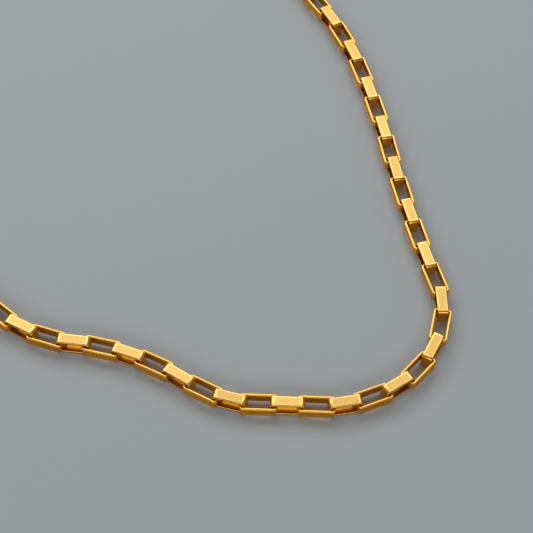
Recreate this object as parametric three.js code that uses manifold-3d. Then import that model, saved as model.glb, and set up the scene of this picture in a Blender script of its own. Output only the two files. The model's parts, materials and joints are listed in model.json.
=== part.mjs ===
// A gold box-chain necklace, lying open on a flat surface with its clasp undone.
// Every link is a flat strip bent into a closed rectangular frame. The links alternate: one lies flat, with
// its window up, and the next stands on edge, and each end wall passes through its neighbour's window.
// Frame: millimetres, +Z up. The origin is under the middle of the front link, on the surface that the chain
// lies on.
import * as THREE from 'three';
import { mergeVertices } from 'three/addons/utils/BufferGeometryUtils.js';
import Module from 'manifold-3d';

// ---- Link sizes ----
const LINK_PITCH = 8.0; // from one link to the next along the chain, on average
const FLAT_EXTRA = 1.0; // by which a flat link is longer than an upright one
const LINK_HEIGHT = 5.3; // across the frame, outside
const STRIP_WALL = 0.8; // thickness of the strip
const SIDE_PLAY = 0.25; // between a strip and each side of the window that it passes through
const END_PLAY = 0.55; // between the end walls of two neighbours, along the chain
const BEND_RADIUS = 1.0; // outside of each bend
const OUTER_BEVEL = 0.25; // polished bevel along the strip's outer edges
const INNER_BEVEL = 0.1; // broken inner edges
const BEND_STEPS = 3; // facets to each bend

// ---- How the chain lies ----
const FRONT_HEADING = 35.5; // degrees from +X to the front link's right-hand end
// Each arm walks away from the front link: [joints, degrees turned at each of them, anticlockwise]
const RIGHT_BENDS = [[5, 14.5], [6, -1], [4, 1.5], [6, 4], [5, -6]];
const LEFT_BENDS = [[3, -12], [2, 0], [2, -13], [1, -5], [4, 6.5], [3, -11], [1, 0], [4, 9], [4, 6]];

// ---- Rings ----
const RING_WIRE = 0.9; // wire of every ring
const RING_PLAY = 0.55; // left inside a link ring around the end wall that it holds
const RING_SIDES = 8; // facets around the wire
const RING_STATIONS = 24; // facets around the ring
const CLASP_RING_CLEAR = 0.1; // under the small upright ring that carries the clasp
const RING_GAP = 0.3; // between two wires that hang in each other
const RING_TURNS = [8, -10, 14]; // degrees turned at the link ring, the clasp ring and the clasp

// ---- Clasp ----
const CLASP_THICK = 2.6;
const CLASP_BEVEL = 0.35; // softens the body's outline
const CHEEK_WALL = 0.55; // each side of the lever slot
const LEVER_PLAY = 0.15; // each side of the lever in its slot
const EYE_WALL = 0.85; // around the clasp's eye
const EYE_PLAY = 0.35; // around the ring's wire in the eye
const EYE_THICK = 1.5;
const PIN_RADIUS = 0.42;
const PIN_PLAY = 0.08;
const PIN_PROUD = 0.1; // of each cheek
const LEVER_PIVOT = new THREE.Vector2(4.3, 0.7); // from the eye's centre
const LEVER_HUB = 1.05; // radius of the lever's round end
const LEVER_BEVEL = 0.12;
const HUB_PLAY = 0.35; // around the lever's round end in the slot
const SLOT_REACH = 2.6; // from the lever's pivot to the slot's far end
const SLOT_RISE = 4.1; // from the lever's pivot to above the body, so that the slot is open there
const SPRING_WALL = 0.25; // bent leaf spring under the lever
const SPRING_BEND = 0.5; // inside radius of its bend
const SPRING_DEPTH = 0.8;
const SPRING_FOOT = 1.2; // straight part that lies on the slot's floor
const SPRING_TONGUE = 1.5; // straight part that presses on the lever
const SPRING_GAP = 0.05; // to the slot's floor and to the lever's hub

// ---- Worked out ----
const WINDOW = LINK_HEIGHT - 2 * STRIP_WALL;
const STRIP_WIDTH = WINDOW - 2 * SIDE_PLAY;
const HOOKED = 2 * STRIP_WALL + END_PLAY; // by which two neighbours reach into each other
const UPRIGHT_LENGTH = LINK_PITCH + HOOKED - FLAT_EXTRA / 2;
const FLAT_LENGTH = LINK_PITCH + HOOKED + FLAT_EXTRA / 2;
const MID_HEIGHT = LINK_HEIGHT / 2;
const LINK_RING_BORE = Math.hypot(STRIP_WALL, STRIP_WIDTH) + 2 * RING_PLAY + STRIP_WALL;
const CLASP_RING_BORE = LINK_HEIGHT - 2 * (RING_WIRE + CLASP_RING_CLEAR);

const DISC_SIDES = 20;
const PIN_SIDES = 12;
const CUT_EXTRA = 1; // by which every cutting solid overshoots what it cuts
const WELD = 1e-4; // corners nearer than this are one corner

const wasm = await Module();
wasm.setup();

const SATIN = 0.32; // roughness of each finish
const POLISHED = 0.2;
const gold = (roughness) => new THREE.MeshStandardMaterial({ color: 0xe2ae4f, metalness: 1, roughness });
const steel = () => new THREE.MeshStandardMaterial({ color: 0xa9a9a6, metalness: 1, roughness: 0.35 });

const necklace = new THREE.Group();

function addPiece(name, geometry, material, parent) {
  const piece = new THREE.Mesh(geometry, material);
  piece.name = name;
  parent.add(piece);
  return piece;
}

// ---- Links ----
// Local X runs along the chain, Y across the frame and Z across the strip.
function linkGeometry(length) {
  const edge = STRIP_WIDTH / 2;
  const section = [
    [0, -edge + INNER_BEVEL],
    [INNER_BEVEL, -edge],
    [STRIP_WALL - OUTER_BEVEL, -edge],
    [STRIP_WALL, -edge + OUTER_BEVEL],
    [STRIP_WALL, edge - OUTER_BEVEL],
    [STRIP_WALL - OUTER_BEVEL, edge],
    [INNER_BEVEL, edge],
    [0, edge - INNER_BEVEL],
  ];
  const points = [];
  const innerRadius = BEND_RADIUS - STRIP_WALL;
  const reach = length / 2 - BEND_RADIUS;
  const rise = LINK_HEIGHT / 2 - BEND_RADIUS;
  const corners = [[reach, rise], [-reach, rise], [-reach, -rise], [reach, -rise]];
  corners.forEach(([x, y], corner) => {
    for (let step = 0; step <= BEND_STEPS; step += 1) {
      const angle = (corner + step / BEND_STEPS) * Math.PI / 2;
      for (const [out, z] of section) {
        const radius = innerRadius + out;
        points.push(x + radius * Math.cos(angle), y + radius * Math.sin(angle), z);
      }
    }
  });
  const sides = section.length;
  const stations = corners.length * (BEND_STEPS + 1);
  const faces = [];
  for (let i = 0; i < stations; i += 1) {
    const here = i * sides;
    const next = ((i + 1) % stations) * sides;
    for (let k = 0; k < sides; k += 1) {
      const l = (k + 1) % sides;
      faces.push(here + k, next + k, next + l, here + k, next + l, here + l);
    }
  }
  const geometry = new THREE.BufferGeometry();
  geometry.setAttribute('position', new THREE.Float32BufferAttribute(points, 3));
  geometry.setIndex(faces);
  geometry.computeVertexNormals();
  return geometry;
}

const ahead = (heading) => new THREE.Vector3(Math.cos(heading), Math.sin(heading), 0);

function addLink(name, centre, heading, upright) {
  const length = upright ? UPRIGHT_LENGTH : FLAT_LENGTH;
  const link = addPiece(name, linkGeometry(length), gold(SATIN), necklace);
  link.rotation.order = 'ZYX';
  link.rotation.set(upright ? Math.PI / 2 : 0, 0, heading);
  link.position.copy(centre);
}

// From the middle of a link to the point halfway across the gap at either end of it.
const halfStep = (upright) => ((upright ? UPRIGHT_LENGTH : FLAT_LENGTH) - HOOKED) / 2;

// Lays one arm of links, each turned by its bend at the joint before it, and gives back where the arm ends:
// the point halfway between its last end wall and a next one, and the last link's heading.
function layArm(prefix, startHeading, bends) {
  const joint = new THREE.Vector3(0, 0, MID_HEIGHT).addScaledVector(ahead(startHeading), halfStep(true));
  let heading = startHeading;
  let count = 0;
  for (const [joints, turn] of bends) {
    for (let i = 0; i < joints; i += 1) {
      count += 1;
      heading += THREE.MathUtils.degToRad(turn);
      const upright = count % 2 === 0;
      const centre = joint.clone().addScaledVector(ahead(heading), halfStep(upright));
      addLink(prefix + String(count).padStart(2, '0'), centre, heading, upright);
      joint.addScaledVector(ahead(heading), 2 * halfStep(upright));
    }
  }
  return { joint, heading };
}

const frontHeading = THREE.MathUtils.degToRad(FRONT_HEADING);
addLink('link_front', new THREE.Vector3(0, 0, MID_HEIGHT), frontHeading, true);
const rightEnd = layArm('link_right_', frontHeading, RIGHT_BENDS);
const leftEnd = layArm('link_left_', frontHeading + Math.PI, LEFT_BENDS);

// ---- Rings ----
const ringGeometry = (bore) =>
  new THREE.TorusGeometry((bore + RING_WIRE) / 2, RING_WIRE / 2, RING_SIDES, RING_STATIONS);

// A group whose origin is the middle of an arm's last end wall and whose X axis leads on from the arm.
function endGroup(end, turn) {
  const group = new THREE.Group();
  const toWall = (STRIP_WALL + END_PLAY) / 2;
  group.position.copy(end.joint).addScaledVector(ahead(end.heading), toWall);
  group.rotation.z = end.heading + THREE.MathUtils.degToRad(turn);
  necklace.add(group);
  return group;
}

// The ring lies flat around the end wall, which it pulls towards its own inside.
const linkRingShift = (LINK_RING_BORE - STRIP_WIDTH) / 2 - RING_PLAY / 2;
const catchGroup = endGroup(rightEnd, -RING_TURNS[0]);
addPiece('catch_ring', ringGeometry(LINK_RING_BORE), gold(POLISHED), catchGroup).position.x = linkRingShift;

const ringGroup = endGroup(leftEnd, RING_TURNS[0]);
addPiece('link_ring', ringGeometry(LINK_RING_BORE), gold(POLISHED), ringGroup).position.x = linkRingShift;

// The small ring stands upright through the link ring, and carries the clasp's eye on its far side.
const smallRingGroup = new THREE.Group();
smallRingGroup.position.x = linkRingShift + (LINK_RING_BORE + RING_WIRE) / 2;
smallRingGroup.rotation.z = THREE.MathUtils.degToRad(RING_TURNS[1]);
ringGroup.add(smallRingGroup);
const smallRing = addPiece('clasp_ring', ringGeometry(CLASP_RING_BORE), gold(POLISHED), smallRingGroup);
smallRing.rotation.x = Math.PI / 2;
const wireToWire = RING_WIRE + RING_GAP;
const smallRingRadius = (CLASP_RING_BORE + RING_WIRE) / 2;
smallRing.position.x = smallRingRadius - wireToWire;

// ---- Clasp ----
// A sprung lobster claw. Local X runs from its eye to its nose, and the lever is on the +Y side.
const claspGroup = new THREE.Group();
claspGroup.position.x = smallRing.position.x + smallRingRadius;
claspGroup.rotation.z = THREE.MathUtils.degToRad(RING_TURNS[2]);
smallRingGroup.add(claspGroup);

function toSolid(geometry) {
  const bare = geometry.clone();
  bare.deleteAttribute('normal');
  bare.deleteAttribute('uv');
  const merged = mergeVertices(bare, WELD);
  const mesh = new wasm.Mesh({
    numProp: 3,
    vertProperties: new Float32Array(merged.attributes.position.array),
    triVerts: new Uint32Array(merged.index.array),
  });
  return new wasm.Manifold(mesh);
}

function toGeometry(solid) {
  const mesh = solid.getMesh();
  const geometry = new THREE.BufferGeometry();
  geometry.setAttribute('position', new THREE.BufferAttribute(mesh.vertProperties, 3));
  geometry.setIndex(new THREE.BufferAttribute(mesh.triVerts, 1));
  geometry.computeVertexNormals();
  return geometry;
}

// A plate of a given thickness with its middle at Z = 0, with an optional bevel inside the outline.
function plate(shape, thickness, bevel = 0) {
  const geometry = new THREE.ExtrudeGeometry(shape, {
    depth: thickness - 2 * bevel,
    curveSegments: 6,
    bevelEnabled: bevel > 0,
    bevelThickness: bevel,
    bevelSize: bevel,
    bevelOffset: -bevel,
    bevelSegments: 1,
  });
  return geometry.translate(0, 0, bevel - thickness / 2);
}

const disc = (x, y, radius, thickness, sides = DISC_SIDES) =>
  new THREE.CylinderGeometry(radius, radius, thickness, sides).rotateX(Math.PI / 2).translate(x, y, 0);

const eyeBore = RING_WIRE / 2 + EYE_PLAY;
const pinBore = PIN_RADIUS + PIN_PLAY;
const slotThick = CLASP_THICK - 2 * CHEEK_WALL;
const slotRadius = LEVER_HUB + HUB_PLAY;
const springRise = SPRING_BEND + SPRING_WALL;
const slotFloor = LEVER_PIVOT.y - LEVER_HUB - 2 * (springRise + SPRING_GAP);
const slotTop = LEVER_PIVOT.y + SLOT_RISE;
const slotEnd = LEVER_PIVOT.x + SLOT_REACH;

function claspBodyGeometry() {
  const outline = new THREE.Shape();
  outline.moveTo(0.9, -0.8);
  outline.bezierCurveTo(2.6, -1.0, 3.2, -2.9, 6.2, -3.1);
  outline.bezierCurveTo(9.2, -3.3, 12.2, -2.4, 12.6, 0.2);
  outline.bezierCurveTo(12.8, 1.8, 12.0, 2.9, 10.6, 3.0);
  outline.quadraticCurveTo(9.9, 3.0, 9.9, 2.5);
  outline.quadraticCurveTo(9.9, 2.1, 10.5, 2.0);
  outline.bezierCurveTo(11.5, 1.7, 11.3, -0.2, 10.4, -1.0);
  outline.bezierCurveTo(9.4, -1.8, 7.2, -1.9, 6.4, -1.4);
  outline.quadraticCurveTo(5.9, -1.0, 5.9, 0.2);
  outline.lineTo(5.9, 1.4);
  outline.quadraticCurveTo(5.8, 2.3, 4.6, 2.4);
  outline.bezierCurveTo(2.8, 2.4, 2.4, 0.9, 0.9, 0.8);
  outline.closePath();
  const slot = new THREE.Shape();
  slot.moveTo(LEVER_PIVOT.x - slotRadius, slotTop);
  slot.lineTo(LEVER_PIVOT.x - slotRadius, LEVER_PIVOT.y);
  slot.absarc(LEVER_PIVOT.x, LEVER_PIVOT.y, slotRadius, Math.PI, 1.5 * Math.PI, false);
  slot.lineTo(LEVER_PIVOT.x, slotFloor);
  slot.lineTo(slotEnd, slotFloor);
  slot.lineTo(slotEnd, slotTop);
  slot.closePath();
  const body = toSolid(plate(outline, CLASP_THICK, CLASP_BEVEL))
    .add(toSolid(disc(0, 0, eyeBore + EYE_WALL, EYE_THICK)))
    .subtract(toSolid(disc(0, 0, eyeBore, CLASP_THICK + CUT_EXTRA)))
    .subtract(toSolid(plate(slot, slotThick)))
    .subtract(toSolid(disc(LEVER_PIVOT.x, LEVER_PIVOT.y, pinBore, CLASP_THICK + CUT_EXTRA, PIN_SIDES)));
  return toGeometry(body);
}

// The lever turns on the pin. Its arm closes the claw from inside the nose, and its tab stands out for a
// thumb.
function leverGeometry() {
  const hub = LEVER_HUB;
  const outline = new THREE.Shape();
  outline.absarc(0, 0, hub, 0.6 * Math.PI, 1.65 * Math.PI, false);
  outline.quadraticCurveTo(3.2, -0.55, 6.1, 0.05);
  outline.quadraticCurveTo(6.6, 0.6, 6.1, 1.0);
  outline.quadraticCurveTo(3.6, 1.2, 2.2, 1.5);
  outline.quadraticCurveTo(1.5, 2.0, 1.5, 3.3);
  outline.quadraticCurveTo(1.0, 3.8, 0.5, 3.3);
  outline.closePath();
  const lever = toSolid(plate(outline, slotThick - 2 * LEVER_PLAY, LEVER_BEVEL))
    .subtract(toSolid(disc(0, 0, pinBore, CLASP_THICK, PIN_SIDES)));
  return toGeometry(lever);
}

// A bent leaf between the slot's floor and the lever's arm, which pushes the lever shut.
function springGeometry() {
  const leaf = new THREE.Shape();
  leaf.absarc(0, 0, springRise, 0.5 * Math.PI, 1.5 * Math.PI, false);
  leaf.lineTo(SPRING_FOOT, -springRise);
  leaf.lineTo(SPRING_FOOT, -SPRING_BEND);
  leaf.absarc(0, 0, SPRING_BEND, 1.5 * Math.PI, 0.5 * Math.PI, true);
  leaf.lineTo(SPRING_TONGUE, SPRING_BEND);
  leaf.lineTo(SPRING_TONGUE, springRise);
  leaf.closePath();
  return plate(leaf, SPRING_DEPTH);
}

addPiece('clasp_body', claspBodyGeometry(), gold(POLISHED), claspGroup);
const lever = addPiece('clasp_lever', leverGeometry(), gold(POLISHED), claspGroup);
lever.position.set(LEVER_PIVOT.x, LEVER_PIVOT.y, 0);
const pinLength = CLASP_THICK + 2 * PIN_PROUD;
const pinGeometry = disc(LEVER_PIVOT.x, LEVER_PIVOT.y, PIN_RADIUS, pinLength, PIN_SIDES);
addPiece('clasp_pin', pinGeometry, gold(POLISHED), claspGroup);
const spring = addPiece('clasp_spring', springGeometry(), steel(), claspGroup);
spring.position.set(LEVER_PIVOT.x + springRise + 2 * SPRING_GAP, slotFloor + springRise + SPRING_GAP, 0);

export default necklace;
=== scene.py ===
# A gold box-chain necklace, lying open on a plain grey surface.
import json
import math

import bmesh
import bpy
from mathutils import Matrix, Vector

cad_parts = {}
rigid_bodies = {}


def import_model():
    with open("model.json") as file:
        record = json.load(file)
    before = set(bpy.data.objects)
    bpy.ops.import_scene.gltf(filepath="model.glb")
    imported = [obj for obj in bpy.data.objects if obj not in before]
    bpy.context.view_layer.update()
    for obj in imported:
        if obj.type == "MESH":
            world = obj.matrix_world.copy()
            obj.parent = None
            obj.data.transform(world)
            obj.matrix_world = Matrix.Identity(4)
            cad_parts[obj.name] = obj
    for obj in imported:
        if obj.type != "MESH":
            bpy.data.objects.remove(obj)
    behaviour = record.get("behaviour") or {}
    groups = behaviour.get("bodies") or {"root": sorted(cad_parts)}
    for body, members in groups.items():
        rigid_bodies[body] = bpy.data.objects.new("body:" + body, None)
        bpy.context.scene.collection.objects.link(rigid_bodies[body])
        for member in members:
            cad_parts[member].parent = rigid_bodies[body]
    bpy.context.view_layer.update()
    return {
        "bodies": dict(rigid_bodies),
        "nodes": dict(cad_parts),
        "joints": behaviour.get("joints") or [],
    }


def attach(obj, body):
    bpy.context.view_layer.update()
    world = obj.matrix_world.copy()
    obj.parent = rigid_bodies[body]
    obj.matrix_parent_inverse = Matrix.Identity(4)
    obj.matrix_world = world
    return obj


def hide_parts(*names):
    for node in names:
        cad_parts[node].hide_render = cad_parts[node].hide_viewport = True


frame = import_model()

# ---- The surface that the chain lies on ----
# A plain matt grey sheet at height zero, far larger than the necklace, so that its edge is out of sight.
# Shader and Value, which come first here, build the materials of every section.
FLOOR_SIZE = 12.0
FLOOR_GREY = (0.505, 0.540, 0.557)

scene = bpy.context.scene


class Shader:
    """One material's node tree, whose nodes are added by type."""

    def __init__(self, name):
        self.material = bpy.data.materials.new(name)
        self.material.use_nodes = True
        self.tree = self.material.node_tree
        self.surface = self.tree.nodes["Principled BSDF"]

    def node(self, kind, settings=None, **sockets):
        made = self.tree.nodes.new(kind)
        for name, value in (settings or {}).items():
            setattr(made, name, value)
        for name, value in sockets.items():
            self.put(made.inputs[name.replace("_", " ")], value)
        return made

    def put(self, socket, value):
        if isinstance(value, Value):
            self.tree.links.new(value.socket, socket)
        elif isinstance(value, bpy.types.NodeSocket):
            self.tree.links.new(value, socket)
        else:
            socket.default_value = value

    def maths(self, operation, *values):
        made = self.tree.nodes.new("ShaderNodeMath")
        made.operation = operation
        for socket, value in zip(made.inputs, values):
            self.put(socket, value)
        return Value(self, made.outputs[0])

    def set(self, **sockets):
        for name, value in sockets.items():
            self.put(self.surface.inputs[name.replace("_", " ")], value)


class Value:
    """A number in a material that varies over the surface; Python's operators add Math nodes."""

    def __init__(self, shader, socket):
        self.shader = shader
        self.socket = socket

    def __add__(self, other):
        return self.shader.maths("ADD", self, other)

    __radd__ = __add__

    def __sub__(self, other):
        return self.shader.maths("SUBTRACT", self, other)

    def __rsub__(self, other):
        return self.shader.maths("SUBTRACT", other, self)

    def __mul__(self, other):
        return self.shader.maths("MULTIPLY", self, other)

    __rmul__ = __mul__


def sheet_of_floor():
    mesh = bpy.data.meshes.new("floor")
    half = FLOOR_SIZE / 2
    corners = [(-half, -half, 0), (half, -half, 0), (half, half, 0), (-half, half, 0)]
    mesh.from_pydata(corners, [], [(0, 1, 2, 3)])
    floor = bpy.data.objects.new("floor", mesh)
    scene.collection.objects.link(floor)
    return floor


floor = sheet_of_floor()
floor_paper = Shader("floor_paper")
floor_paper.set(Base_Color=(*FLOOR_GREY, 1), Roughness=0.9)
floor.data.materials.append(floor_paper.material)

# ---- Links ----
# Each link is a flat gold strip bent into a closed rectangle, with rounded and polished edges.
# Each outer face has a satin panel, brushed along the strip and sunk a hair below its polished border.
# The colour holds painted light: paler painted highlights on upward borders and sideways rims, and painted
# shade as a deeper tone on sideways, bent and inner faces and along the crease where each bend starts.
WALL = 0.0008
BEND_RADIUS = 0.0010
EDGE_RADIUS = 0.00026
PANEL_MARGIN = 0.00022
PANEL_DEPTH = 0.00004
INWARD_AT = 0.0015
FLAT_ENOUGH = 0.9999
SHARP_ANGLE = math.radians(35)
BEND_FACETS = 8
EDGE_FACETS = 5
BENT_AT = 0.00030
CREASE_PLACE = 0.00008
CREASE_HALF = 0.00022
SATIN_GOLD = (0.97, 0.70, 0.25)
BORDER_HIGHLIGHT_GOLD = (1.00, 0.77, 0.34)
BEND_SHADE_GOLD = (1.00, 0.54, 0.08)
RIM_GOLD = (1.00, 0.53, 0.10)
SHADE_PAINTED_GOLD = (1.00, 0.45, 0.008)
INNER_SHADE_GOLD = (1.00, 0.46, 0.010)
SHADED_GOLD = (0.46, 0.19, 0.004)
RIM_HIGHLIGHT_GOLD = (1.00, 0.80, 0.38)
OWN_TONE = (0.84, 0.80, 0.72, 1)
STREAK = (0.84, 0.70, 0.50, 1)
BRUSH_STRETCH = (300.0, 300.0, 6000.0)
GRAIN_SCALE = 1100.0
LIT_FROM = 0.1
LIT_TO = 0.8
BUMP_STRENGTH = 0.35
BUMP_DISTANCE = 0.00002
POLISH_ROUGHNESS = 0.2
SATIN_ROUGHER = 0.16
BRUSH_ROUGHER = 0.12
GRAIN_ROUGHER = 0.06
GRAIN_HEIGHT = 0.3
CREASE_HEIGHT = 2.0
OWN_TONE_SHARE = 0.9
STREAK_FROM = 0.3
STREAK_SHARE = 0.7
CREASE_SHADE_SHARE = 0.9
SEED_STEP = 3.7


class Growth:
    """One Geometry Nodes tree, whose inputs are its sizes."""

    def __init__(self, name, **inputs):
        self.tree = bpy.data.node_groups.new(name, "GeometryNodeTree")
        self.tree.interface.new_socket("Geometry", in_out="OUTPUT", socket_type="NodeSocketGeometry")
        self.sockets = {}
        for title, kind in inputs.items():
            made = self.tree.interface.new_socket(
                title.replace("_", " "), in_out="INPUT", socket_type="NodeSocket" + kind)
            self.sockets[title] = made.identifier
        self.inside = self.tree.nodes.new("NodeGroupInput")

    def size(self, title):
        return Grown(self, self.inside.outputs[title.replace("_", " ")])

    def put(self, socket, value):
        if isinstance(value, Grown):
            self.tree.links.new(value.socket, socket)
        else:
            socket.default_value = value

    def node(self, kind, settings=None, **sockets):
        made = self.tree.nodes.new(kind)
        for name, value in (settings or {}).items():
            setattr(made, name, value)
        for name, value in sockets.items():
            place = name.replace("_", " ")
            place = int(place[1:]) if place[0] == "i" and place[1:].isdigit() else place
            self.put(made.inputs[place], value)
        return Out(self, made)

    def maths(self, operation, *values):
        made = self.tree.nodes.new("ShaderNodeMath")
        made.operation = operation
        for socket, value in zip(made.inputs, values):
            self.put(socket, value)
        return Grown(self, made.outputs[0])

    def finish(self, geometry, material):
        shaped = self.node("GeometryNodeSetMaterial", i0=geometry, i2=material)[0]
        whole = self.node("GeometryNodeRealizeInstances", i0=shaped)[0]
        out = self.tree.nodes.new("NodeGroupOutput")
        self.tree.links.new(whole.socket, out.inputs[0])


class Out:
    """A node's outputs, by number."""

    def __init__(self, growth, node):
        self.growth = growth
        self.node = node

    def __getitem__(self, which):
        return Grown(self.growth, self.node.outputs[which])


class Grown:
    """A value or geometry in a Geometry Nodes tree; Python's operators add Math nodes."""

    def __init__(self, growth, socket):
        self.growth = growth
        self.socket = socket

    def __add__(self, other):
        return self.growth.maths("ADD", self, other)

    __radd__ = __add__

    def __sub__(self, other):
        return self.growth.maths("SUBTRACT", self, other)

    def __rsub__(self, other):
        return self.growth.maths("SUBTRACT", other, self)

    def __mul__(self, other):
        return self.growth.maths("MULTIPLY", self, other)

    __rmul__ = __mul__

    def __truediv__(self, other):
        return self.growth.maths("DIVIDE", self, other)

    def __gt__(self, other):
        return self.growth.maths("GREATER_THAN", self, other)


def link_tree(material):
    """Grows one link about the origin, its length along X and its strip's width along Z, then places it."""
    grow = Growth(
        "box_chain_link", Length="Float", Height="Float", Strip_Width="Float", Wall="Float",
        Bend_Radius="Float", Edge_Radius="Float", Panel_Margin="Float", Panel_Depth="Float",
        Bend_Steps="Int", Edge_Steps="Int", Seed="Float", Place="Vector", Turn="Vector")
    wall, bend = grow.size("Wall"), grow.size("Bend_Radius")
    path = grow.node(
        "GeometryNodeCurvePrimitiveQuadrilateral", {"mode": "RECTANGLE"},
        Width=grow.size("Length") - wall, Height=grow.size("Height") - wall)[0]
    path = grow.node(
        "GeometryNodeFilletCurve", {"mode": "POLY"}, Curve=path, Count=grow.size("Bend_Steps"),
        Radius=bend - wall / 2)[0]
    path = grow.node("GeometryNodeSetCurveNormal", {"mode": "Z_UP"}, Curve=path)[0]
    strip = grow.node(
        "GeometryNodeCurvePrimitiveQuadrilateral", {"mode": "RECTANGLE"}, Width=wall,
        Height=grow.size("Strip_Width"))[0]
    strip = grow.node(
        "GeometryNodeFilletCurve", {"mode": "POLY"}, Curve=strip, Count=grow.size("Edge_Steps"),
        Radius=grow.size("Edge_Radius"))[0]
    link = grow.node("GeometryNodeCurveToMesh", Curve=path, Profile_Curve=strip)[0]
    # the satin panels: each flat outer face is set in by the margin, then sunk
    normal = grow.node("ShaderNodeSeparateXYZ", Vector=grow.node("GeometryNodeInputNormal")[0])
    place = grow.node("ShaderNodeSeparateXYZ", Vector=grow.node("GeometryNodeInputPosition")[0])
    reach_out = normal[0] * place[0] + normal[1] * place[1]
    outward = reach_out > 0.0
    inward = reach_out * -1.0 > INWARD_AT
    rim = grow.maths("ABSOLUTE", normal[2]) > FLAT_ENOUGH
    link = grow.node(
        "GeometryNodeStoreNamedAttribute", {"data_type": "FLOAT", "domain": "FACE"}, Geometry=link,
        Name="inner", i3=inward)[0]
    link = grow.node(
        "GeometryNodeStoreNamedAttribute", {"data_type": "FLOAT", "domain": "FACE"}, Geometry=link,
        Name="rim", i3=rim)[0]
    long_face = grow.maths("ABSOLUTE", normal[1]) > FLAT_ENOUGH
    end_face = grow.maths("ABSOLUTE", normal[0]) > FLAT_ENOUGH
    flat = grow.maths("MAXIMUM", long_face, end_face)
    raised = grow.node(
        "GeometryNodeExtrudeMesh", {"mode": "FACES"}, Mesh=link, Selection=outward * flat,
        Offset_Scale=0.0, Individual=False)
    margin = grow.size("Panel_Margin")
    reach = grow.size("Length") / 2 - bend - margin
    rise = grow.size("Height") / 2 - bend - margin
    edge = grow.size("Strip_Width") / 2 - grow.size("Edge_Radius") - margin

    def held(coordinate, limit):
        return grow.maths("MAXIMUM", grow.maths("MINIMUM", coordinate, limit), limit * -1.0)

    on_long = grow.maths("ABSOLUTE", place[1]) > grow.size("Height") / 2 - wall / 2
    off_long = 1.0 - on_long
    inset = grow.node(
        "ShaderNodeCombineXYZ",
        X=held(place[0], reach) * on_long + place[0] * off_long,
        Y=held(place[1], rise) * off_long + place[1] * on_long,
        Z=held(place[2], edge))[0]
    framed = grow.node(
        "GeometryNodeSetPosition", Geometry=raised[0], Selection=raised[1], Position=inset)[0]
    sunk = grow.node(
        "GeometryNodeExtrudeMesh", {"mode": "FACES"}, Mesh=framed, Selection=raised[1],
        Offset_Scale=grow.size("Panel_Depth") * -1.0, Individual=False)
    panel = grow.node(
        "GeometryNodeStoreNamedAttribute", {"data_type": "FLOAT", "domain": "FACE"}, Geometry=sunk[0],
        Name="panel", i3=sunk[1])[0]
    own_place = grow.node(
        "GeometryNodeStoreNamedAttribute", {"data_type": "FLOAT_VECTOR", "domain": "POINT"}, Geometry=panel,
        Name="own_place", i3=grow.node("GeometryNodeInputPosition")[0])[0]
    place = grow.node("ShaderNodeSeparateXYZ", Vector=grow.node("GeometryNodeInputPosition")[0])
    from_bend = grow.maths("ABSOLUTE", place[0]) - (grow.size("Length") / 2 - bend)
    own_place = grow.node(
        "GeometryNodeStoreNamedAttribute", {"data_type": "FLOAT", "domain": "POINT"}, Geometry=own_place,
        Name="from_bend", i3=from_bend)[0]
    seeded = grow.node(
        "GeometryNodeStoreNamedAttribute", {"data_type": "FLOAT", "domain": "POINT"}, Geometry=own_place,
        Name="own_seed", i3=grow.size("Seed"))[0]
    smooth = grow.node("GeometryNodeSetShadeSmooth", {"domain": "FACE"}, i0=seeded, i2=True)[0]
    sharp = grow.node("GeometryNodeInputMeshEdgeAngle")[0] > SHARP_ANGLE
    creased = grow.node("GeometryNodeSetShadeSmooth", {"domain": "EDGE"}, i0=smooth, i1=sharp, i2=False)[0]
    placed = grow.node(
        "GeometryNodeTransform", Geometry=creased, Translation=grow.size("Place"),
        Rotation=grow.size("Turn"))[0]
    # The normal's height once placed; the material paints light and shade by it.
    facing = grow.node("ShaderNodeSeparateXYZ", Vector=grow.node("GeometryNodeInputNormal")[0])
    faced = grow.node(
        "GeometryNodeStoreNamedAttribute", {"data_type": "FLOAT", "domain": "POINT"}, Geometry=placed,
        Name="up", i3=facing[2])[0]
    grow.finish(faced, material)
    return grow


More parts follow.
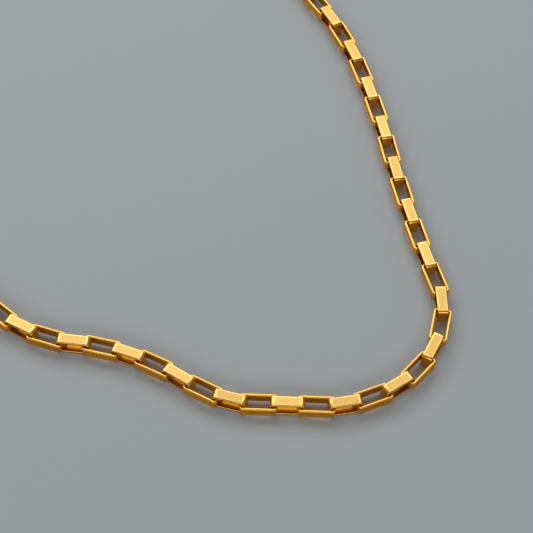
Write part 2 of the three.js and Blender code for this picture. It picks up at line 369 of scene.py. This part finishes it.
def link_gold():
    """Gold: fine satin brushing on the panels, polished borders painted paler as a painted highlight, and
    painted shade as a deeper tone on the sides, bends, insides and bend creases.
    """
    gold = Shader("link_gold")

    def read(name):
        return Value(gold, gold.node("ShaderNodeAttribute", {"attribute_name": name}).outputs["Fac"])

    panel, seed, up, from_bend = read("panel"), read("own_seed"), read("up"), read("from_bend")
    inner, rim = read("inner"), read("rim")
    own = gold.node("ShaderNodeAttribute", {"attribute_name": "own_place"}).outputs["Vector"]
    along = gold.node("ShaderNodeMapping", {"vector_type": "POINT"}, Vector=own, Scale=BRUSH_STRETCH)
    brush = gold.node(
        "ShaderNodeTexNoise", {"noise_dimensions": "4D"}, Vector=along.outputs[0], W=seed, Scale=1.0,
        Detail=3.0, Roughness=0.6)
    brush = Value(gold, brush.outputs["Fac"])
    grain = gold.node(
        "ShaderNodeTexNoise", {"noise_dimensions": "4D"}, Vector=own, W=seed, Scale=GRAIN_SCALE,
        Detail=4.0)
    grain = Value(gold, grain.outputs["Fac"])
    lit = gold.node("ShaderNodeMapRange", {"interpolation_type": "SMOOTHSTEP"}, Value=up)
    lit.inputs["From Min"].default_value = LIT_FROM
    lit.inputs["From Max"].default_value = LIT_TO
    lit = Value(gold, lit.outputs[0])
    bent = gold.maths("GREATER_THAN", from_bend, BENT_AT)
    off_crease = gold.maths("ABSOLUTE", from_bend - CREASE_PLACE) * (1 / CREASE_HALF)
    crease = 1.0 - gold.maths("MINIMUM", off_crease, 1.0)

    def mixed(factor, first, second, blend="MIX"):
        mix = gold.node("ShaderNodeMix", {"data_type": "RGBA", "blend_type": blend})
        gold.put(mix.inputs[0], factor)
        gold.put(mix.inputs[6], first)
        gold.put(mix.inputs[7], second)
        return mix.outputs[2]

    # The polished border is painted paler than the satin panel on upward faces: a painted highlight on a real
    # polish.
    top = mixed(panel, (*BORDER_HIGHLIGHT_GOLD, 1), (*SATIN_GOLD, 1))
    # Painted shade: outer faces turned away from up get a deeper tone in place of the gold's own colour.
    flat = mixed(lit, (*SHADE_PAINTED_GOLD, 1), top)
    # Painted shade: the bends and end walls get a deeper tone.
    face = mixed(bent, flat, (*BEND_SHADE_GOLD, 1))
    # Rims are painted by facing: a pale painted highlight where they face sideways, a deeper tone where they
    # face up.
    outside = mixed(rim, face, mixed(lit, (*RIM_HIGHLIGHT_GOLD, 1), (*RIM_GOLD, 1)))
    # Painted shade inside the link: inner faces get a deeper tone, darkest where they face up.
    inside = mixed(lit, (*INNER_SHADE_GOLD, 1), (*SHADED_GOLD, 1))
    toned = mixed(inner, outside, inside)
    own_tone = gold.node("ShaderNodeTexWhiteNoise", {"noise_dimensions": "1D"}, W=seed)
    own_tone = Value(gold, own_tone.outputs["Value"]) * OWN_TONE_SHARE
    dimmed = mixed(own_tone, toned, OWN_TONE, "MULTIPLY")
    streaked = mixed(panel * (brush - STREAK_FROM) * STREAK_SHARE, dimmed, STREAK, "MULTIPLY")
    # Painted shade: a dark line along the crease where each bend starts, outside the panels and inner faces.
    crease_shade = crease * (1.0 - inner) * (1.0 - panel) * CREASE_SHADE_SHARE
    creased = mixed(crease_shade, streaked, (*SHADE_PAINTED_GOLD, 1))
    bump = gold.node(
        "ShaderNodeBump", Strength=BUMP_STRENGTH, Distance=BUMP_DISTANCE,
        Height=brush * panel + grain * GRAIN_HEIGHT - crease * CREASE_HEIGHT)
    rough = POLISH_ROUGHNESS + panel * SATIN_ROUGHER + brush * panel * BRUSH_ROUGHER + grain * GRAIN_ROUGHER
    gold.set(
        Base_Color=creased,
        Metallic=1.0,
        Roughness=rough,
        Normal=bump.outputs[0])
    return gold.material


joint_of = {j["child"]: j for j in frame["joints"]}
joints_from = {}
for joint in frame["joints"]:
    joints_from.setdefault(joint["parent"], []).append(joint)


def extent(body, way):
    """The least and greatest distance of a body's CAD node along a direction."""
    spans = [v.co.dot(way) for v in frame["nodes"][body].data.vertices]
    return min(spans), max(spans)


def lie_of(body):
    """A link's middle, heading, length and size across, read off its two joints and its CAD node."""
    ends = [Vector(j["pos_m"]) for j in joints_from[body]]
    start = Vector(joint_of[body]["pos_m"]) if body in joint_of else ends.pop()
    way = (ends[0] - start).normalized()
    side = Vector((-way.y, way.x, 0))
    first, last = extent(body, way)
    near, far = extent(body, side)
    low, high = extent(body, Vector((0, 0, 1)))
    middle = way * (first + last) / 2 + side * (near + far) / 2 + Vector((0, 0, (low + high) / 2))
    return middle, math.atan2(way.y, way.x), last - first, far - near, high - low


links = [body for body in frame["bodies"] if body.startswith("link_") and body != "link_ring"]
link_metal = link_gold()
growing = link_tree(link_metal)
nursery = bpy.data.objects.new("nursery", bpy.data.meshes.new("nursery"))
scene.collection.objects.link(nursery)
modifier = nursery.modifiers.new("Link", "NODES")
modifier.node_group = growing.tree


def grow_piece(name, growth, values):
    for title, value in values.items():
        modifier[growth.sockets[title]] = value
    nursery.update_tag()
    graph = bpy.context.evaluated_depsgraph_get()
    mesh = bpy.data.meshes.new_from_object(
        nursery.evaluated_get(graph), preserve_all_data_layers=True, depsgraph=graph)
    mesh.name = name
    piece = bpy.data.objects.new(name, mesh)
    scene.collection.objects.link(piece)
    return piece


link_sizes = {
    "Wall": WALL, "Bend_Radius": BEND_RADIUS, "Edge_Radius": EDGE_RADIUS, "Panel_Margin": PANEL_MARGIN,
    "Panel_Depth": PANEL_DEPTH, "Bend_Steps": BEND_FACETS, "Edge_Steps": EDGE_FACETS,
}
for number, body in enumerate(links):
    middle, heading, length, across, rise = lie_of(body)
    turn = (math.pi / 2 if rise > across else 0.0, 0.0, heading)
    piece = grow_piece("satin_" + body, growing, {
        **link_sizes, "Length": length, "Height": max(rise, across), "Strip_Width": min(rise, across),
        "Seed": SEED_STEP * number, "Place": middle, "Turn": turn})
    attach(piece, body)
    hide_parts(body)
bpy.data.objects.remove(nursery)

# ---- Rings ----
# Three round gold wire rings, each closed with a fine butt joint. One is on the last link at each end of the
# chain, and a small upright one carries the clasp. They are polished, with the hairline scratches of wear.
RING_STATIONS = 72
RING_SIDES = 20
BUTT_HALF_GAP = 0.00003
WIRE_EDGE = 0.00007
EDGE_BREAK = 0.3
DEEP_TONE = (0.90, 0.52, 0.10, 1)
PALE_TONE = (0.98, 0.70, 0.24, 1)
TONE_SCALE = 420.0
SCRATCH_DEPTH = 0.00001
RING_SCRATCH_SCALE = 2600.0
RING_SCRATCH_STRENGTH = 0.25
SCRATCH_STRETCH = (0.12, 1.0, 1.0)
POLISHED_ROUGHNESS = 0.13
SCRATCH_ROUGHER = 0.14
SOFT_ANGLE = 0.6
SAME_POINT = 1e-7
CATCH_BUTT_WAY = Vector((1, 0.3, 0))
LINK_BUTT_WAY = Vector((-0.3, 1, 0))


def polished_gold(name, scratch_scale, scratch_strength):
    """Polished gold with faint scratches along Object X and slow, slight changes of tone."""
    gold = Shader(name)
    place = gold.node("ShaderNodeTexCoord").outputs["Object"]
    long_way = gold.node("ShaderNodeMapping", {"vector_type": "POINT"}, Vector=place, Scale=SCRATCH_STRETCH)
    scratch = gold.node(
        "ShaderNodeTexNoise", {"noise_dimensions": "3D"}, Vector=long_way.outputs[0], Scale=scratch_scale,
        Detail=5.0, Roughness=0.7)
    scratch = Value(gold, scratch.outputs["Fac"])
    tone = gold.node(
        "ShaderNodeTexNoise", {"noise_dimensions": "3D"}, Vector=place, Scale=TONE_SCALE, Detail=2.0)
    mix = gold.node("ShaderNodeMix", {"data_type": "RGBA"})
    gold.put(mix.inputs[0], tone.outputs["Fac"])
    gold.put(mix.inputs[6], DEEP_TONE)
    gold.put(mix.inputs[7], PALE_TONE)
    bump = gold.node("ShaderNodeBump", Strength=scratch_strength, Distance=SCRATCH_DEPTH, Height=scratch)
    gold.set(
        Base_Color=mix.outputs[2],
        Metallic=1.0,
        Roughness=POLISHED_ROUGHNESS + scratch * SCRATCH_ROUGHER,
        Normal=bump.outputs[0])
    return gold.material


def add_mesh(name, points, faces, material):
    """A piece from points and faces, with normals outward and smooth except across sharp edges."""
    work = bmesh.new()
    corners = [work.verts.new(p) for p in points]
    for face in faces:
        work.faces.new([corners[i] for i in face])
    bmesh.ops.remove_doubles(work, verts=work.verts[:], dist=SAME_POINT)
    return add_bmesh(name, work, material)


def add_bmesh(name, work, material):
    bmesh.ops.recalc_face_normals(work, faces=work.faces[:])
    for face in work.faces:
        face.smooth = True
    for edge in work.edges:
        edge.smooth = edge.is_manifold and edge.calc_face_angle(0) < SOFT_ANGLE
    mesh = bpy.data.meshes.new(name)
    work.to_mesh(mesh)
    work.free()
    mesh.materials.append(material)
    piece = bpy.data.objects.new(name, mesh)
    scene.collection.objects.link(piece)
    return piece


def wire_ring(body, axis, butt_way, material):
    """One ring on its CAD node's centre; the butt joint is on the side that butt_way points to."""
    corners = [v.co for v in frame["nodes"][body].data.vertices]
    centre = sum(corners, Vector()) / len(corners)
    outer = max((c - centre).length for c in corners)
    low, high = extent(body, axis)
    wire = (high - low) / 2
    middle = outer - wire
    start = (butt_way - axis * butt_way.dot(axis)).normalized()
    across = axis.cross(start)
    gap = BUTT_HALF_GAP / middle
    edge = WIRE_EDGE / middle
    turns = [gap, gap + edge * EDGE_BREAK, gap + edge]
    span = 2 * math.pi - 2 * (gap + edge)
    turns += [gap + edge + span * i / RING_STATIONS for i in range(1, RING_STATIONS)]
    turns += [2 * math.pi - t for t in (gap + edge, gap + edge * EDGE_BREAK, gap)]
    radii = [wire - WIRE_EDGE, wire - WIRE_EDGE * EDGE_BREAK]
    radii += [wire] * (len(turns) - 4) + radii[::-1]
    points = []
    for turn, radius in zip(turns, radii):
        out = start * math.cos(turn) + across * math.sin(turn)
        for k in range(RING_SIDES):
            round_wire = 2 * math.pi * k / RING_SIDES
            rise = axis * radius * math.sin(round_wire)
            points.append(centre + out * (middle + radius * math.cos(round_wire)) + rise)
    faces = []
    for i in range(len(turns) - 1):
        for k in range(RING_SIDES):
            beside = (k + 1) % RING_SIDES
            here, there = i * RING_SIDES, (i + 1) * RING_SIDES
            faces.append((here + k, here + beside, there + beside, there + k))
    faces.append(tuple(range(RING_SIDES)))
    faces.append(tuple(reversed(range(len(points) - RING_SIDES, len(points)))))
    ring = add_mesh("wire_" + body, points, faces, material)
    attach(ring, body)
    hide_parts(body)


def joint_place(name):
    return Vector(next(j["pos_m"] for j in frame["joints"] if j["name"] == name))


UP = Vector((0, 0, 1))
ring_gold = polished_gold("ring_gold", RING_SCRATCH_SCALE, RING_SCRATCH_STRENGTH)
small_ring_way = (joint_place("clasp_swing") - joint_place("clasp_ring_swing")).normalized()
wire_ring("catch_ring", UP, CATCH_BUTT_WAY, ring_gold)
wire_ring("link_ring", UP, LINK_BUTT_WAY, ring_gold)
wire_ring("clasp_ring", small_ring_way.cross(UP), UP, ring_gold)

# ---- Clasp ----
# A cast gold lobster claw: a body with a round eye and a hooked nose, and a lever with a thumb tab.
# The lever turns on a riveted cross pin in the body's slot, and a bent leaf spring of steel under it
# holds it shut.
MM = 0.001
CLASP_THICK = 2.6
CLASP_ROUND = 0.42
EYE_THICK = 1.5
EYE_OUTER = 1.65
EYE_BORE = 0.8
EYE_ROUND = 0.32
LEVER_PIVOT = Vector((4.3, 0.7))
SLOT_RADIUS = 1.4
SLOT_THICK = 1.5
SLOT_FLOOR = -1.95
SLOT_END = 6.9
SLOT_TOP = 4.8
LEVER_THICK = 1.2
LEVER_ROUND = 0.2
PIN_RADIUS = 0.42
PIN_BORE = 0.5
PIN_HALF_LENGTH = 1.4
PIN_DOME = 0.14
SPRING_RISE = 0.75
SPRING_INSIDE = 0.5
SPRING_WIDTH = 0.8
SPRING_PLACE = Vector((5.15, -1.15))
SPRING_FOOT = 1.2
SPRING_TONGUE = 1.5
SPRING_ROUND = 0.04
HUB_RADIUS = 1.05
HUB_FROM = 0.6 * math.pi
HUB_TO = 1.65 * math.pi
SLOT_ROUND = 0.02
EYE_OPEN = 0.1
PIN_SIDES = 28
PIN_STEPS = 6
CURVE_STEPS = 14
DRUM_SIDES = 40
ROUND_STEPS = 3
NEAR = 1e-4
CLASP_SCRATCH_SCALE = 1900.0
CLASP_SCRATCH_STRENGTH = 0.30
STEEL_DARK = (0.42, 0.41, 0.39, 1)
STEEL_LIGHT = (0.68, 0.67, 0.64, 1)
STEEL_GRAIN_SCALE = 5200.0
STEEL_BUMP_STRENGTH = 0.3
STEEL_ROUGHNESS = 0.22
STEEL_ROUGHER = 0.2

lever_way = joint_place("lever_open") - joint_place("clasp_swing")
clasp_heading = math.atan2(lever_way.y, lever_way.x) - math.atan2(LEVER_PIVOT.y, LEVER_PIVOT.x)
clasp_place = (
    Matrix.Translation(joint_place("clasp_swing")) @ Matrix.Rotation(clasp_heading, 4, "Z")
    @ Matrix.Scale(MM, 4))


class Outline:
    """A closed outline in millimetres, drawn with straight lines, arcs and curves."""

    def __init__(self, x, y):
        self.points = [Vector((x, y))]

    def line(self, x, y):
        self.points.append(Vector((x, y)))

    def curve(self, *handles):
        handles = [self.points[-1]] + [Vector(h) for h in handles]
        for step in range(1, CURVE_STEPS + 1):
            level = list(handles)
            part = step / CURVE_STEPS
            while len(level) > 1:
                level = [a.lerp(b, part) for a, b in zip(level, level[1:])]
            self.points.append(level[0])

    def arc(self, x, y, radius, first, last):
        for step in range(CURVE_STEPS + 1):
            turn = first + (last - first) * step / CURVE_STEPS
            self.points.append(Vector((x + radius * math.cos(turn), y + radius * math.sin(turn))))


def rounded_plate(outline, thickness, rounding, centre=(0, 0)):
    """A bmesh plate with its middle at Z = 0 and rounded edges inside its outline."""
    data = bpy.data.curves.new("outline", "CURVE")
    data.dimensions = "2D"
    data.fill_mode = "BOTH"
    data.extrude = thickness / 2 - rounding
    data.bevel_depth = rounding
    data.bevel_resolution = ROUND_STEPS
    data.offset = -rounding
    following = outline.points[1:] + outline.points[:1]
    kept = [p for p, q in zip(outline.points, following) if (p - q).length > NEAR]
    spline = data.splines.new("POLY")
    spline.points.add(len(kept) - 1)
    for point, place in zip(spline.points, kept):
        point.co = (place.x + centre[0], place.y + centre[1], 0, 1)
    spline.use_cyclic_u = True
    drawn = bpy.data.objects.new("outline", data)
    scene.collection.objects.link(drawn)
    graph = bpy.context.evaluated_depsgraph_get()
    mesh = bpy.data.meshes.new_from_object(drawn.evaluated_get(graph), depsgraph=graph)
    work = bmesh.new()
    work.from_mesh(mesh)
    bmesh.ops.remove_doubles(work, verts=work.verts[:], dist=NEAR)
    bmesh.ops.recalc_face_normals(work, faces=work.faces[:])
    bpy.data.objects.remove(drawn)
    bpy.data.meshes.remove(mesh)
    bpy.data.curves.remove(data)
    return work


def drum(x, y, radius, thickness):
    work = bmesh.new()
    place = Matrix.Translation((x, y, 0))
    bmesh.ops.create_cone(
        work, cap_ends=True, segments=DRUM_SIDES, radius1=radius, radius2=radius, depth=thickness,
        matrix=place)
    return work


def shaped(base, tools):
    """The base solid after each (operation, tool) in turn."""

    def temporary(work):
        mesh = bpy.data.meshes.new("temporary")
        work.to_mesh(mesh)
        work.free()
        made = bpy.data.objects.new("temporary", mesh)
        scene.collection.objects.link(made)
        return made

    stock = temporary(base)
    cutters = []
    for operation, tool in tools:
        cutters.append(temporary(tool))
        change = stock.modifiers.new("change", "BOOLEAN")
        change.operation = operation
        change.solver = "EXACT"
        change.object = cutters[-1]
    graph = bpy.context.evaluated_depsgraph_get()
    mesh = bpy.data.meshes.new_from_object(stock.evaluated_get(graph), depsgraph=graph)
    work = bmesh.new()
    work.from_mesh(mesh)
    bmesh.ops.remove_doubles(work, verts=work.verts[:], dist=NEAR)
    bmesh.ops.dissolve_degenerate(work, edges=work.edges[:], dist=NEAR)
    for spare in [stock] + cutters:
        bpy.data.objects.remove(spare)
    bpy.data.meshes.remove(mesh)
    return work


def place_on_clasp(name, work, material, body, node):
    bmesh.ops.transform(work, matrix=clasp_place, verts=work.verts[:])
    piece = add_bmesh(name, work, material)
    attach(piece, body)
    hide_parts(node)


claw = Outline(0.9, -0.8)
claw.curve((2.6, -1.0), (3.2, -2.9), (6.2, -3.1))
claw.curve((9.2, -3.3), (12.2, -2.4), (12.6, 0.2))
claw.curve((12.8, 1.8), (12.0, 2.9), (10.6, 3.0))
claw.curve((9.9, 3.0), (9.9, 2.5))
claw.curve((9.9, 2.1), (10.5, 2.0))
claw.curve((11.5, 1.7), (11.3, -0.2), (10.4, -1.0))
claw.curve((9.4, -1.8), (7.2, -1.9), (6.4, -1.4))
claw.curve((5.9, -1.0), (5.9, 0.2))
claw.line(5.9, 1.4)
claw.curve((5.8, 2.3), (4.6, 2.4))
claw.curve((2.8, 2.4), (2.4, 0.9), (0.9, 0.8))
eye = Outline(EYE_OUTER, 0)
eye.arc(0, 0, EYE_OUTER, EYE_OPEN, 2 * math.pi - EYE_OPEN)
lever_slot = Outline(LEVER_PIVOT.x - SLOT_RADIUS, SLOT_TOP)
lever_slot.arc(LEVER_PIVOT.x, LEVER_PIVOT.y, SLOT_RADIUS, math.pi, 1.5 * math.pi)
lever_slot.line(LEVER_PIVOT.x, SLOT_FLOOR)
lever_slot.line(SLOT_END, SLOT_FLOOR)
lever_slot.line(SLOT_END, SLOT_TOP)
clasp_gold = polished_gold("clasp_gold", CLASP_SCRATCH_SCALE, CLASP_SCRATCH_STRENGTH)
clasp_solid = shaped(rounded_plate(claw, CLASP_THICK, CLASP_ROUND), [
    ("UNION", rounded_plate(eye, EYE_THICK, EYE_ROUND)),
    ("DIFFERENCE", drum(0, 0, EYE_BORE, CLASP_THICK * 2)),
    ("DIFFERENCE", rounded_plate(lever_slot, SLOT_THICK, SLOT_ROUND)),
    ("DIFFERENCE", drum(LEVER_PIVOT.x, LEVER_PIVOT.y, PIN_BORE, CLASP_THICK * 2)),
])
place_on_clasp("claw_body", clasp_solid, clasp_gold, "clasp", "clasp_body")

tab = Outline(math.cos(HUB_FROM) * HUB_RADIUS, math.sin(HUB_FROM) * HUB_RADIUS)
tab.arc(0, 0, HUB_RADIUS, HUB_FROM, HUB_TO)
tab.curve((3.2, -0.55), (6.1, 0.05))
tab.curve((6.6, 0.6), (6.1, 1.0))
tab.curve((3.6, 1.2), (2.2, 1.5))
tab.curve((1.5, 2.0), (1.5, 3.3))
tab.curve((1.0, 3.8), (0.5, 3.3))
lever_solid = shaped(rounded_plate(tab, LEVER_THICK, LEVER_ROUND, LEVER_PIVOT), [
    ("DIFFERENCE", drum(LEVER_PIVOT.x, LEVER_PIVOT.y, PIN_BORE, CLASP_THICK * 2)),
])
place_on_clasp("claw_lever", lever_solid, clasp_gold, "clasp_lever", "clasp_lever")

pin_solid = bmesh.new()
pin_profile = [(0.0, PIN_HALF_LENGTH)]
for step in range(1, PIN_STEPS + 1):
    turn = math.pi / 2 * step / PIN_STEPS
    pin_profile.append((PIN_RADIUS * math.sin(turn), PIN_HALF_LENGTH - PIN_DOME * (1 - math.cos(turn))))
pin_profile += [(r, -z) for r, z in reversed(pin_profile)]
pin_rows = []
for radius, z in pin_profile:
    sides = PIN_SIDES if radius > 0 else 1
    pin_rows.append([
        pin_solid.verts.new((
            LEVER_PIVOT.x + radius * math.cos(2 * math.pi * k / sides),
            LEVER_PIVOT.y + radius * math.sin(2 * math.pi * k / sides), z))
        for k in range(sides)])
for upper, lower in zip(pin_rows, pin_rows[1:]):
    for k in range(PIN_SIDES):
        beside = (k + 1) % PIN_SIDES
        corners = [
            upper[k % len(upper)], lower[k % len(lower)],
            lower[beside % len(lower)], upper[beside % len(upper)]]
        pin_solid.faces.new(list(dict.fromkeys(corners)))
place_on_clasp("claw_pin", pin_solid, clasp_gold, "clasp", "clasp_pin")

leaf = Outline(0, SPRING_RISE)
leaf.arc(0, 0, SPRING_RISE, 0.5 * math.pi, 1.5 * math.pi)
leaf.line(SPRING_FOOT, -SPRING_RISE)
leaf.line(SPRING_FOOT, -SPRING_INSIDE)
leaf.arc(0, 0, SPRING_INSIDE, 1.5 * math.pi, 0.5 * math.pi)
leaf.line(SPRING_TONGUE, SPRING_INSIDE)
leaf.line(SPRING_TONGUE, SPRING_RISE)
steel = Shader("spring_steel")
steel_place = steel.node("ShaderNodeTexCoord").outputs["Object"]
steel_grain = steel.node(
    "ShaderNodeTexNoise", {"noise_dimensions": "3D"}, Vector=steel_place, Scale=STEEL_GRAIN_SCALE, Detail=4.0)
steel_grain = Value(steel, steel_grain.outputs["Fac"])
steel_mix = steel.node("ShaderNodeMix", {"data_type": "RGBA"})
steel.put(steel_mix.inputs[0], steel_grain)
steel.put(steel_mix.inputs[6], STEEL_DARK)
steel.put(steel_mix.inputs[7], STEEL_LIGHT)
steel_bump = steel.node(
    "ShaderNodeBump", Strength=STEEL_BUMP_STRENGTH, Distance=SCRATCH_DEPTH, Height=steel_grain)
steel.set(
    Base_Color=steel_mix.outputs[2],
    Metallic=1.0,
    Roughness=STEEL_ROUGHNESS + steel_grain * STEEL_ROUGHER,
    Normal=steel_bump.outputs[0])
spring_solid = rounded_plate(leaf, SPRING_WIDTH, SPRING_ROUND, SPRING_PLACE)
place_on_clasp("claw_spring", spring_solid, steel.material, "clasp", "clasp_spring")

# ---- Light and camera ----
# An even pale dome, a broad soft box high behind the chain that faces straight down, and a narrower one in
# front that is aimed at the chain. The lens is long.
CAMERA_ELEVATION = math.radians(57.0)
CAMERA_DISTANCE = 0.4573
CAMERA_ROLL = 0.0287
CAMERA_LENS = 105.4
LOOK_AT = Vector((-0.0373, 0.0402, 0.0))
SKY_COLOUR = (0.95, 0.98, 1.0, 1)
SKY_STRENGTH = 0.27
SKY_BOX_PLACE = Vector((-0.42, 0.76, 0.80))
SKY_BOX_AIM = Vector((-0.42, 0.76, 0.0))
SKY_BOX_SIZE = (1.50, 0.90)
SKY_BOX_RADIANCE = 1.60
FRONT_BOX_PLACE = Vector((-0.04, -0.80, 0.58))
FRONT_BOX_SIZE = (1.00, 0.36)
FRONT_BOX_RADIANCE = 1.9

world = bpy.data.worlds.new("studio")
scene.world = world
world.use_nodes = True
world.node_tree.nodes["Background"].inputs["Color"].default_value = SKY_COLOUR
world.node_tree.nodes["Background"].inputs["Strength"].default_value = SKY_STRENGTH


def soft_box(name, place, aim, size, radiance):
    """A rectangular lamp of an even brightness, aimed at a point."""
    data = bpy.data.lights.new(name, "AREA")
    data.shape = "RECTANGLE"
    data.size, data.size_y = size
    data.energy = radiance * math.pi * size[0] * size[1]
    lamp = bpy.data.objects.new(name, data)
    facing = (aim - place).to_track_quat("-Z", "Y").to_matrix().to_4x4()
    lamp.matrix_world = Matrix.Translation(place) @ facing
    scene.collection.objects.link(lamp)


soft_box("sky_box", SKY_BOX_PLACE, SKY_BOX_AIM, SKY_BOX_SIZE, SKY_BOX_RADIANCE)
soft_box("front_box", FRONT_BOX_PLACE, LOOK_AT, FRONT_BOX_SIZE, FRONT_BOX_RADIANCE)

back = Vector((0, -math.cos(CAMERA_ELEVATION), math.sin(CAMERA_ELEVATION)))
camera_data = bpy.data.cameras.new("camera")
camera_data.lens = CAMERA_LENS
camera_data.clip_start = 0.01
camera = bpy.data.objects.new("camera", camera_data)
camera_place = LOOK_AT + back * CAMERA_DISTANCE
camera.matrix_world = (
    Matrix.Translation(camera_place) @ back.to_track_quat("Z", "Y").to_matrix().to_4x4()
    @ Matrix.Rotation(CAMERA_ROLL, 4, "Z"))
scene.collection.objects.link(camera)
scene.camera = camera
scene.view_settings.view_transform = "Standard"
